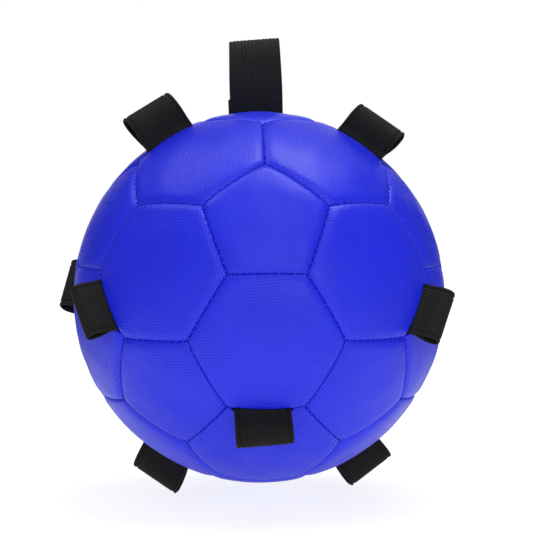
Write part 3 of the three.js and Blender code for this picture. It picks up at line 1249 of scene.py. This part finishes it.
@dataclass
class CoverPanel:
    """One padded panel of the cover, crowned between its sewn edges, in millimetres."""

    name: str
    corners: Array
    layout: SeamLayout
    loops: dict[tuple[float, ...], WebbingLoop]
    number: int
    hole: float = 0.0
    side_steps: int = 40
    row_crowding: float = 1.6
    seam_drop: float = 0.1
    seam_gap: float = 0.1
    roll_width: float = 0.6
    roll_depth: float = 0.3
    stitch_pitch: float = 4.44
    pucker: float = 0.28
    pucker_reach: float = 2.2
    corner_dimple: float = 0.5
    corner_reach: float = 5.0
    swell: float = 0.1
    swell_start: float = 7.0
    swell_waves: int = 4
    swell_lengths: tuple[float, float] = (16.0, 42.0)
    loop_lift: float = 0.9
    lift_reach: float = 3.0
    give_reach: float = 4.0
    give_ease: tuple[float, float] = (-0.2, 2.6)
    give_spare: float = 0.12
    hole_margin: float = 4.0
    hole_lip: tuple[tuple[float, float], ...] = ((0.5, 0.0), (0.12, 0.12), (0.0, 0.45))
    hole_depth: float = 0.3
    inside_shares: tuple[float, float] = (0.94, 0.6)

    def __post_init__(self) -> None:
        """Works out the panel's flat frame, the heading of its emboss and its swell."""
        self.flat_middle = self.corners.mean(axis=0)
        self.middle = unit(self.flat_middle)
        radius = self.layout.sizes.seam_radius
        self.side = radius * float(np.linalg.norm(self.corners[1] - self.corners[0]))
        halfway = (self.corners[0] + self.corners[1]) / 2.0
        self.inradius = radius * float(np.linalg.norm(halfway - self.flat_middle))
        self.right = unit(self.corners[0] - self.middle * (self.corners[0] @ self.middle))
        self.up = np.cross(self.middle, self.right)
        random = np.random.default_rng(PANEL_SEED + self.number)
        any_heading = random.uniform(0.0, 180.0)
        self.emboss_turn = -math.radians(EMBOSS_HEADINGS.get(self.name, any_heading))
        self.waves: list[tuple[float, float, float]] = []
        for _ in range(self.swell_waves):
            heading = random.uniform(0.0, math.tau)
            length = random.uniform(*self.swell_lengths)
            self.waves.append((heading, length, random.uniform(0.0, math.tau)))

    def opening(self, first: Array, second: Array, place: Array) -> Array:
        """How far a loop holds the edge open.

        Args:
            first: Corner at which the side starts.
            second: Corner at which it ends.
            place: Places along the side from its middle.

        Returns:
            The distance by which the edge gives way at each place.
        """
        loop = self.loops.get(self.layout.seam_key(first, second))
        if loop is None:
            return np.zeros_like(place)
        towards = 1.0 if unit(second - first) @ loop.along > 0.0 else -1.0
        middle = towards * loop.place.shift
        half = loop.webbing.width / 2.0
        start, end = self.give_ease
        held = 1.0 - smooth_step(np.abs(place - middle), half + start, half + end)
        return held * (loop.webbing.sewn_thickness - self.seam_gap / 2.0 + self.give_spare)

    def surface(self, row: int) -> Array:
        """One row of points round the panel, at a distance from its edge.

        Args:
            row: Number of the row, from the edge.

        Returns:
            The points.
        """
        steps = self.side_steps
        edge = self.seam_gap / 2.0
        distance = edge + (self.inradius - edge) * (row / steps) ** self.row_crowding
        share = 1.0 - distance / self.inradius
        count = max(steps - row, 1)
        along = np.arange(count) / count
        place = (along - 0.5) * self.side * share
        rows = []
        for first, second in zip(self.corners, np.roll(self.corners, -1, axis=0)):
            rim = first[None, :] + (second - first)[None, :] * along[:, None]
            inward = unit(self.flat_middle - (first + second) / 2.0)
            held = self.opening(first, second, place)
            give = held * math.exp(-distance / self.give_reach)
            flat = self.flat_middle + (rim - self.flat_middle) * share
            flat = flat + inward * (give / self.layout.sizes.seam_radius)[:, None]
            radius = self.height(distance, place, first, second, flat)
            radius += self.loop_lift * held * math.exp(-((distance / self.lift_reach) ** 2))
            rows.append(units(flat) * radius[:, None])
        points = np.concatenate(rows)
        return points[:1] if row == steps else points

    def height(self, distance: float, place: Array, first: Array, second: Array, flat: Array) -> Array:
        """Radius of the panel's outside.

        Args:
            distance: Distance from the edge.
            place: Places along the side from its middle.
            first: Corner at which the side starts.
            second: Corner at which it ends.
            flat: The points in the panel's flat.

        Returns:
            The radius at each point.
        """
        sizes = self.layout.sizes
        rolled = 1.0 - min(1.0, distance / self.roll_width)
        deeper = 1.0 + self.seam_drop / sizes.seam_depth
        level = float(sizes.rise(distance)) * deeper
        level -= self.seam_drop + self.roll_depth * (1.0 - math.sqrt(1.0 - rolled**2))
        radius = np.full(len(place), sizes.seam_radius + level)
        tug = 0.5 - 0.5 * np.cos(math.tau * (place / self.stitch_pitch + 0.5))
        radius -= self.pucker * (1.0 - tug) * math.exp(-((distance / self.pucker_reach) ** 2))
        for corner in (first, second):
            gap = sizes.seam_radius * np.linalg.norm(units(flat) - corner, axis=1)
            radius -= self.corner_dimple * np.exp(-((gap / self.corner_reach) ** 2))
        u, v = self.flat_places(flat * sizes.seam_radius)
        fade = 1.0 - math.exp(-((distance / self.swell_start) ** 2))
        for heading, length, phase in self.waves:
            run = u * math.cos(heading) + v * math.sin(heading)
            radius += self.swell * fade * np.sin(math.tau * run / length + phase)
        return radius

    def flat_places(self, points: Array) -> tuple[Array, Array]:
        """Places of points along the panel's own flat axes."""
        return points @ self.right, points @ self.up

    def rows(self) -> list[Array]:
        """Makes the outside, from the edge to the middle or to the valve's hole.

        Returns:
            The rows of points.
        """
        steps = self.side_steps
        if not self.hole:
            return [self.surface(row) for row in range(steps + 1)]
        kept = 0
        while self.inradius * (1.0 - (kept / steps) ** self.row_crowding) > self.hole + self.hole_margin:
            kept += 1
        rows = [self.surface(row) for row in range(kept)]
        u, v = self.flat_places(rows[-1])
        length = np.hypot(u, v)
        radius = self.layout.sizes.crown
        for wider, drop in self.hole_lip:
            ring = self.hole + wider
            flat = self.right * (u / length * ring)[:, None] + self.up * (v / length * ring)[:, None]
            rows.append(flat + self.middle * (math.sqrt(radius**2 - ring**2) - drop))
        return rows

    @staticmethod
    def lace(first: list[int], second: list[int], sides: int) -> list[tuple[int, ...]]:
        """Faces between two rows of points.

        Args:
            first: Point numbers of the outer row.
            second: Point numbers of the inner row, as many, or one fewer on each side, or one.
            sides: Number of sides of the panel.

        Returns:
            The faces.
        """
        count = len(first)
        first_next = first[1:] + first[:1]
        if len(second) == count:
            return list(zip(first, first_next, second[1:] + second[:1], second))
        if len(second) == 1:
            return [(here, after, second[0]) for here, after in zip(first, first_next)]
        faces: list[tuple[int, ...]] = []
        steps, inner_steps = count // sides, len(second) // sides
        for side in range(sides):
            for step in range(steps):
                near = second[(side * inner_steps + step) % len(second)]
                here, after = first[side * steps + step], first_next[side * steps + step]
                faces.append((here, after, near))
                if step < inner_steps:
                    faces.append((after, second[(side * inner_steps + step + 1) % len(second)], near))
        return faces

    def build(self) -> bpy.types.Object:
        """Makes the closed panel with its flat map.

        Returns:
            The panel.
        """
        rows = self.rows()
        inner = self.layout.sizes.inner_radius
        level = units(rows[0])
        inside = [level * inner]
        for share in self.inside_shares:
            inside.append(units(self.middle + (level - self.middle) * share) * inner)
        points = rows + inside
        numbers: list[list[int]] = []
        start = 0
        for row in points:
            numbers.append(list(range(start, start + len(row))))
            start += len(row)
        fronts, backs = numbers[: len(rows)], numbers[len(rows) :]
        sides = len(self.corners)
        faces: list[tuple[int, ...]] = []
        for near, far in zip(fronts, fronts[1:]):
            faces += self.lace(near, far, sides)
        turned = self.lace(fronts[0], backs[0], sides)
        for near, far in zip(backs, backs[1:]):
            turned += self.lace(near, far, sides)
        if self.hole:
            last = rows[-1]
            wall = last + self.middle * (inner - self.hole_depth - last @ self.middle)[:, None]
            points.append(wall)
            lip = list(range(start, start + len(wall)))
            faces += self.lace(fronts[-1], lip, sides)
            turned += self.stitched(backs[-1], lip)
        else:
            points.append((self.middle * inner)[None, :])
            turned += self.lace(backs[-1], [start], sides)
        faces += [face[::-1] for face in turned]
        everything = np.concatenate(points)
        piece = add_mesh(f"cover_{self.name}", self.layout.placed(everything), faces)
        u, v = self.flat_places(everything)
        cos, sin = math.cos(self.emboss_turn), math.sin(self.emboss_turn)
        add_map(piece, PANEL_MAP, np.stack([u * cos - v * sin, u * sin + v * cos], 1))
        return piece

    @staticmethod
    def stitched(outer: list[int], inner: list[int]) -> list[tuple[int, ...]]:
        """Faces between two closed rows whose counts differ.

        Args:
            outer: Point numbers of the larger row.
            inner: Point numbers of the smaller row.

        Returns:
            The faces.
        """
        faces: list[tuple[int, ...]] = []
        ratio = len(inner) / len(outer)
        for i in range(len(outer)):
            near = int(i * ratio) % len(inner)
            after = int((i + 1) * ratio) % len(inner)
            faces.append((outer[i], outer[(i + 1) % len(outer)], inner[after]))
            if near != after:
                faces.append((outer[i], inner[after], inner[near]))
        return faces

    def dress(self, piece: bpy.types.Object, material: bpy.types.Material) -> None:
        """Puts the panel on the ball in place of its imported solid.

        Args:
            piece: The finished panel.
            material: Finish of the cover.
        """
        piece.data.materials.append(material)
        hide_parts(self.name)
        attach(piece, BALL_BODY)


@dataclass
class SeamThread:
    """The stitches that draw the panels together, in millimetres."""

    layout: SeamLayout
    loops: dict[tuple[float, ...], WebbingLoop]
    stitches: int = 10
    thread_radius: float = 0.38
    span: float = 1.4
    bow: float = 0.3
    level: float = 0.42
    uneven: float = 0.14
    skew: float = 0.3
    loop_margin: float = 0.6
    sides: int = 6
    bends: int = 4

    def places(self) -> tuple[Array, Array, Array]:
        """Finds every stitch that no loop covers.

        Returns:
            The stitches' points, their outward directions and the ways of their seams.
        """
        points, outwards, ways = [], [], []
        radius = self.layout.sizes.seam_radius
        random = np.random.default_rng(STITCH_SEED)
        for first, second in self.layout.seams():
            loop = self.loops.get(self.layout.seam_key(first, second))
            pole = unit(np.cross(first, second))
            length = radius * math.acos(float(np.clip(first @ second, -1.0, 1.0)))
            middle = unit(first + second)
            for number in range(self.stitches):
                angle = ((number + 0.5) / self.stitches - 0.5) * length / radius
                outward = middle * math.cos(angle) + np.cross(pole, middle) * math.sin(angle)
                way = np.cross(pole, outward)
                if loop is not None:
                    apart = (outward @ loop.along - loop.outward @ loop.along) * radius
                    if abs(apart) < loop.webbing.width / 2.0 + self.loop_margin:
                        continue
                turn = random.uniform(-self.skew, self.skew)
                points.append(outward * (radius + self.level + random.uniform(-self.uneven, self.uneven)))
                outwards.append(outward)
                ways.append(way * math.cos(turn) + np.cross(outward, way) * math.sin(turn))
        return np.array(points), np.array(outwards), np.array(ways)

    @staticmethod
    def tree() -> GeometryTree:
        """Builds the tree that lays one short bowed thread over each point.

        Returns:
            The tree.
        """
        tree = GeometryTree(
            "seam_stitches",
            {
                "Span": "NodeSocketFloat",
                "Bow": "NodeSocketFloat",
                "Thread Radius": "NodeSocketFloat",
                "Sides": "NodeSocketInt",
                "Bends": "NodeSocketInt",
            },
        )
        board, source = tree.board, tree.source
        line = board.add("GeometryNodeCurveQuadraticBezier")
        board.feed(line.inputs["Resolution"], source.outputs["Bends"])
        half = board.math("MULTIPLY", source.outputs["Span"], 0.5)
        back = board.math("MULTIPLY", half, -1.0)
        bow = source.outputs["Bow"]
        drop = board.math("MULTIPLY", bow, -1.0)
        for name, over, up in (("Start", back, drop), ("Middle", 0.0, bow), ("End", half, drop)):
            spot = board.add("ShaderNodeCombineXYZ")
            board.feed(spot.inputs["Y"], over)
            board.feed(spot.inputs["Z"], up)
            board.feed(line.inputs[name], spot.outputs["Vector"])
        ring = board.add("GeometryNodeCurvePrimitiveCircle")
        board.feed(ring.inputs["Resolution"], source.outputs["Sides"])
        board.feed(ring.inputs["Radius"], source.outputs["Thread Radius"])
        tube = board.add("GeometryNodeCurveToMesh")
        board.feed(tube.inputs["Curve"], line.outputs["Curve"])
        board.feed(tube.inputs["Profile Curve"], ring.outputs["Curve"])
        tube.inputs["Fill Caps"].default_value = True
        axes = board.add("FunctionNodeAxesToRotation", primary_axis="Z", secondary_axis="X")
        for name, socket in zip(("outward", "way"), axes.inputs):
            board.feed(socket, tree.stored(name, "FLOAT_VECTOR"))
        laid = board.add("GeometryNodeInstanceOnPoints")
        board.feed(laid.inputs["Points"], source.outputs["Geometry"])
        board.feed(laid.inputs["Instance"], tube.outputs["Mesh"])
        board.feed(laid.inputs["Rotation"], axes.outputs["Rotation"])
        tree.end(laid.outputs["Instances"])
        return tree

    def build(self, material: bpy.types.Material) -> bpy.types.Object:
        """Makes all the stitches as one mesh.

        Args:
            material: Finish of the thread.

        Returns:
            The stitches.
        """
        points, outwards, ways = self.places()
        piece = add_mesh("seam_thread", self.layout.placed(points), [])
        add_values(piece, "outward", outwards)
        add_values(piece, "way", ways)
        values = {
            "Span": self.span * MM,
            "Bow": self.bow * MM,
            "Thread Radius": self.thread_radius * MM,
            "Sides": self.sides,
            "Bends": self.bends,
            "Material": material,
        }
        self.tree().bake(piece, values)
        return piece

    def dress(self, piece: bpy.types.Object) -> None:
        """Lets the stitches move with the ball."""
        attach(piece, BALL_BODY)


@dataclass
class TurnedRubber:
    """The bladder and its valve, turned about the axis of the rear pentagon, in millimetres."""

    layout: SeamLayout
    side: str = "lower_3"
    stem: float = 5.0
    flange: float = 9.0
    flange_thickness: float = 1.6
    patch_margin: float = 2.0
    bore: float = 2.2
    face_recess: float = 0.6
    core_recess: float = 0.4
    needle: float = 0.8
    core_cup: float = 0.2
    lip: float = 0.35
    stem_lip: tuple[tuple[float, float], ...] = ((0.0, 1.0), (0.3, 0.3), (1.0, 0.0))
    mouth_lip: tuple[tuple[float, float], ...] = ((2.2, 0.0), (0.9, 0.25), (0.0, 1.2))
    valve_steps: int = 72
    bladder_steps: int = 128

    @property
    def drill(self) -> float:
        """Radius of the hole for the valve in the cover and the bladder."""
        return self.stem + self.layout.sizes.fit_gap

    def patch_height(self, radius: float) -> float:
        """Height of the bladder's flat patch on a sphere of a radius."""
        return math.sqrt(radius**2 - (self.flange + self.patch_margin) ** 2)

    def sphere(self, radius: float) -> list[tuple[float, float]]:
        """Radius and height pairs from the edge of the flat patch to the far pole.

        Args:
            radius: Radius of the sphere.

        Returns:
            The pairs.
        """
        first = math.asin((self.flange + self.patch_margin) / radius)
        rows = self.bladder_steps // 2
        angles = [first + (math.pi - first) * i / rows for i in range(rows)]
        return [(radius * math.sin(a), radius * math.cos(a)) for a in angles] + [(0.0, -radius)]

    def turned(self, name: str, section: list[tuple[float, float]], steps: int) -> bpy.types.Object:
        """Turns a closed section about the valve's axis.

        Args:
            name: Name of the piece.
            section: Radius and height pairs round the section, anticlockwise with the axis up.
            steps: Number of steps round.

        Returns:
            The piece.
        """
        axis = self.layout.middles[self.side]
        right = unit(np.cross(axis, np.array([1.0, 0.0, 0.0])))
        up = np.cross(axis, right)
        angles = np.arange(steps) * math.tau / steps
        points: list[Array] = []
        rows: list[list[int]] = []
        for radius, height in section:
            if radius == 0.0:
                rows.append([len(points)] * steps)
                points.append(axis * height)
                continue
            rows.append(list(range(len(points), len(points) + steps)))
            points += [axis * height + radius * (right * math.cos(a) + up * math.sin(a)) for a in angles]
        faces: list[tuple[int, ...]] = []
        for near, far in zip(rows, rows[1:] + rows[:1]):
            for i in range(steps):
                j = (i + 1) % steps
                corners = tuple(dict.fromkeys((near[i], near[j], far[j], far[i])))
                if len(corners) > 2:
                    faces.append(corners)
        return add_mesh(name, self.layout.placed(np.array(points)), faces)

    def build(self) -> dict[str, bpy.types.Object]:
        """Makes the three rubber pieces.

        Returns:
            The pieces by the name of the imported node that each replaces.
        """
        sizes = self.layout.sizes
        outer = sizes.bladder
        inner = outer - sizes.bladder_wall
        bladder = [(self.drill, self.patch_height(inner))]
        bladder += self.sphere(inner) + self.sphere(outer)[::-1]
        bladder.append((self.drill, self.patch_height(outer)))
        top = self.patch_height(inner) - sizes.fit_gap
        base = top - self.flange_thickness
        face = sizes.crown - self.face_recess
        lip = self.lip
        body = [
            (self.bore, base),
            (self.flange - lip, base),
            (self.flange, base + lip),
            (self.flange, top - lip),
            (self.flange - lip, top),
            (self.stem, top),
        ]
        body += [(self.stem - inward * lip, face - drop * lip) for inward, drop in self.stem_lip]
        body += [(self.bore + wider * lip, face - drop * lip) for wider, drop in self.mouth_lip]
        core_radius = self.bore - sizes.fit_gap
        core_face = face - self.core_recess
        core = [
            (self.needle, base),
            (core_radius, base),
            (core_radius, core_face - lip),
            (core_radius - lip, core_face),
            (self.needle + lip, core_face - self.core_cup),
            (self.needle, core_face - self.core_cup - lip),
        ]
        return {
            "bladder": self.turned("inner_bladder", bladder, self.bladder_steps),
            "valve_body": self.turned("valve_collar", body, self.valve_steps),
            "valve_core": self.turned("valve_plug", core, self.valve_steps),
        }

    def dress(self, pieces: dict[str, bpy.types.Object], effects: SharedEffects) -> None:
        """Gives the rubber its finishes and puts it on the ball.

        Args:
            pieces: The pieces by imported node.
            effects: The shared shader groups.
        """
        finishes = {
            Slot.BLADDER: BLADDER_FINISH.material(effects),
            Slot.VALVE: VALVE_FINISH.material(effects),
        }
        for node, piece in pieces.items():
            slot = Slot.BLADDER if node == "bladder" else Slot.VALVE
            piece.data.materials.append(finishes[slot])
            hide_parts(node)
            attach(piece, BALL_BODY)


@dataclass(frozen=True)
class SoftBox:
    """One rectangular lamp, placed from the ball's middle in metres, with its power in watts."""

    name: str
    place: tuple[float, float, float]
    size: tuple[float, float]
    power: float


SOFT_BOXES = (
    SoftBox("top_right_box", (0.31, 0.04, 1.27), (0.7, 0.7), 8.6),
    SoftBox("top_left_box", (-0.59, 0.17, 1.26), (0.85, 0.85), 4.2),
    SoftBox("front_box", (0.15, -1.78, 0.9), (1.5, 2.1), 9.0),
    SoftBox("right_box", (0.86, -1.76, 0.46), (0.6, 0.6), 2.0),
    SoftBox("back_box", (0.38, 1.1, 0.85), (1.2, 0.8), 1.1),
)


@dataclass
class Studio:
    """Floor, lamps, white surround and the camera of the photograph."""

    layout: SeamLayout
    azimuth: float = -2.44
    elevation: float = 3.44
    distance: float = 1.2466
    aim_right: float = 0.00441
    aim_up: float = 0.01804
    lens: float = 141.43
    sensor: float = 36.0
    surround: tuple[float, float] = (0.92, 0.28)
    surround_span: tuple[float, float] = (-1.0, 0.4)
    zenith: float = 0.36
    room: float = 0.08
    backdrop: tuple[float, float] = (0.90, 0.97)
    floor_half: float = 3.0
    floor_gap: float = 0.0005
    floor_grey: float = 0.28
    # The floor's glow paints light round the ball, a shadow under it and shade near it to the camera.
    floor_glow: float = 0.8
    floor_bounce: float = 0.15
    floor_white: tuple[float, float] = (0.83, 1.0)
    floor_shade: tuple[float, float] = (0.1, 0.24)
    floor_pool: tuple[float, float] = (0.2, 0.6)
    floor_under: tuple[float, float] = (0.04, 0.22)
    floor_shadow: float = 0.45

    def camera(self) -> None:
        """Adds the camera at the photograph's viewing angle."""
        az, el = math.radians(self.azimuth), math.radians(self.elevation)
        toward = Vector((math.sin(az) * math.cos(el), -math.cos(az) * math.cos(el), math.sin(el)))
        right = Vector((math.cos(az), math.sin(az), 0.0))
        up = toward.cross(right)
        middle = Vector(self.layout.centre * MM)
        data = bpy.data.cameras.new("photo_camera")
        data.lens = self.lens
        data.sensor_width = self.sensor
        camera = bpy.data.objects.new("photo_camera", data)
        camera.location = middle + toward * self.distance
        aim = middle + right * self.aim_right + up * self.aim_up
        camera.rotation_euler = (aim - camera.location).to_track_quat("-Z", "Y").to_euler()
        bpy.context.scene.collection.objects.link(camera)
        bpy.context.scene.camera = camera

    def world(self) -> None:
        """Makes the surround white to the eye, and a white backdrop in a dim room to reflections."""
        world = bpy.data.worlds.new("white_surround")
        world.use_nodes = True
        board = NodeBoard(world.node_tree)
        rays = board.add("ShaderNodeLightPath")
        split = board.add("ShaderNodeSeparateXYZ")
        board.feed(split.inputs[0], board.add("ShaderNodeTexCoord").outputs["Generated"])
        behind = board.remap(split.outputs["Y"], *self.backdrop, self.room, 1.0)
        glossy, through = rays.outputs["Is Glossy Ray"], rays.outputs["Is Transmission Ray"]
        mirrored = board.math("MAXIMUM", glossy, through)
        around = board.remap(split.outputs["Y"], *self.surround_span, *self.surround)
        overhead = board.remap(split.outputs["Z"], 0.0, 1.0, 1.0, self.zenith)
        around = board.math("MULTIPLY", around, overhead)
        spread = board.mix_value(rays.outputs["Is Diffuse Ray"], self.room, around)
        strength = board.mix_value(mirrored, spread, behind)
        back = board.add("ShaderNodeBackground")
        board.feed(back.inputs["Strength"], board.mix_value(rays.outputs["Is Camera Ray"], strength, 1.0))
        board.feed(board.add("ShaderNodeOutputWorld").inputs["Surface"], back.outputs["Background"])
        back.inputs["Color"].default_value = (1.0, 1.0, 1.0, 1.0)
        bpy.context.scene.world = world

    def floor(self, level: float) -> None:
        """Adds the pale floor, which keeps the object's shadow and glows round the ball as painted light.

        Args:
            level: Height of the floor.
        """
        half = self.floor_half
        middle = self.layout.centre * MM
        corners = np.array([[-half, -half], [half, -half], [half, half], [-half, half]])
        points = np.column_stack([corners + middle[:2], np.full(4, level)])
        floor = add_mesh("studio_floor", points, [(0, 1, 2, 3)])
        material = bpy.data.materials.new("pale_floor")
        material.use_nodes = True
        board = NodeBoard(material.node_tree)
        matt = board.add("ShaderNodeBsdfDiffuse")
        matt.inputs["Color"].default_value = (self.floor_grey, self.floor_grey, self.floor_grey, 1.0)
        glow = board.add("ShaderNodeEmission")
        rays = board.add("ShaderNodeLightPath")
        away = board.add("ShaderNodeVectorMath", operation="DISTANCE")
        board.feed(away.inputs[0], board.add("ShaderNodeTexCoord").outputs["Object"])
        away.inputs[1].default_value = (middle[0], middle[1], level)
        # Painted light: a pool of glow round the ball for reflections, with a painted shadow right under
        # it.
        pool = board.remap(away.outputs["Value"], *self.floor_pool, self.floor_glow, 0.0)
        under = board.remap(away.outputs["Value"], *self.floor_under, self.floor_shadow, 1.0)
        pool = board.math("MULTIPLY", pool, under)
        # Painted light: to diffuse rays the floor glows evenly and lights the ball from below.
        lit = board.mix_value(rays.outputs["Is Diffuse Ray"], pool, self.floor_glow + self.floor_bounce)
        # Painted shade: to the camera the floor's white glow is dimmer near the ball.
        white = board.remap(away.outputs["Value"], *self.floor_shade, *self.floor_white)
        shown = board.mix_value(rays.outputs["Is Camera Ray"], lit, white)
        board.feed(glow.inputs["Strength"], shown)
        both = board.add("ShaderNodeAddShader")
        board.feed(both.inputs[0], matt.outputs["BSDF"])
        board.feed(both.inputs[1], glow.outputs["Emission"])
        board.feed(board.add("ShaderNodeOutputMaterial").inputs["Surface"], both.outputs["Shader"])
        floor.data.materials.append(material)
        floor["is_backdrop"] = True

    def lamp(self, box: SoftBox) -> None:
        """Adds a soft box that faces the ball.

        Args:
            box: The lamp's place, size and power.
        """
        data = bpy.data.lights.new(box.name, "AREA")
        data.shape = "RECTANGLE"
        data.size, data.size_y = box.size
        data.energy = box.power
        lamp = bpy.data.objects.new(box.name, data)
        place = Vector(box.place)
        lamp.location = Vector(self.layout.centre * MM) + place
        lamp.rotation_euler = (-place).to_track_quat("-Z", "Y").to_euler()
        bpy.context.scene.collection.objects.link(lamp)

    def build(self) -> None:
        """Sets up the whole studio round the finished object."""
        bpy.context.scene.view_settings.view_transform = "Standard"
        self.world()
        self.camera()
        self.floor(float(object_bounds()[0][2]) - self.floor_gap)
        for box in SOFT_BOXES:
            self.lamp(box)


def handle_place(layout: SeamLayout) -> LoopPlace:
    """Stands the carrying loop upright on the rear seam of the top pentagon.

    Args:
        layout: The panels and seams.

    Returns:
        The carrying loop's place.
    """
    settled = 0.8
    slope = math.acos(layout.seam_middle(HANDLE_ENDS)[2])
    return LoopPlace(
        "handle",
        HANDLE_ENDS,
        height=layout.sizes.handle_height - settled,
        droop=-math.degrees(slope),
        opening=12.0,
        lean=-0.036,
        tilt=0.075,
        taper=0.045,
        tail_shift=1.1,
    )


def report(piece: bpy.types.Object) -> None:
    """Logs a finished piece."""
    LOG.info("%s: %d faces", piece.name, len(piece.data.polygons))


def main() -> None:
    """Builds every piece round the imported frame."""
    logging.basicConfig(level=logging.INFO, format="%(name)s: %(message)s")
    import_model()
    layout = SeamLayout(BallSizes())
    effects = SharedEffects()
    straps = [WebbingLoop(place, TAB_WEBBING, layout) for place in TAB_PLACES]
    straps.append(WebbingLoop(handle_place(layout), HANDLE_WEBBING, layout))
    loops = {strap.seam_key: strap for strap in straps}

    rubber = TurnedRubber(layout)
    rubber_pieces = rubber.build()
    rubber.dress(rubber_pieces, effects)
    for piece in rubber_pieces.values():
        report(piece)

    blue = CoverFinish().material(effects)
    for number, (name, corners) in enumerate(layout.panels.items()):
        hole = rubber.drill if name == f"pentagon_{rubber.side}" else 0.0
        panel = CoverPanel(name, corners, layout, loops, number, hole)
        piece = panel.build()
        panel.dress(piece, blue)
        report(piece)

    thread = SeamThread(layout, loops)
    stitches = thread.build(ThreadFinish().material(effects))
    thread.dress(stitches)
    report(stitches)

    finishes = {Slot.TAB: TAPE_FINISH.material(effects), Slot.HANDLE: STRAP_FINISH.material(effects)}
    relief = WovenRelief()
    for strap in straps:
        piece = strap.build()
        relief.apply(piece, strap.webbing, finishes[strap.webbing.slot])
        strap.dress(piece)
        report(piece)

    Studio(layout).build()


if __name__ == "__main__":
    main()
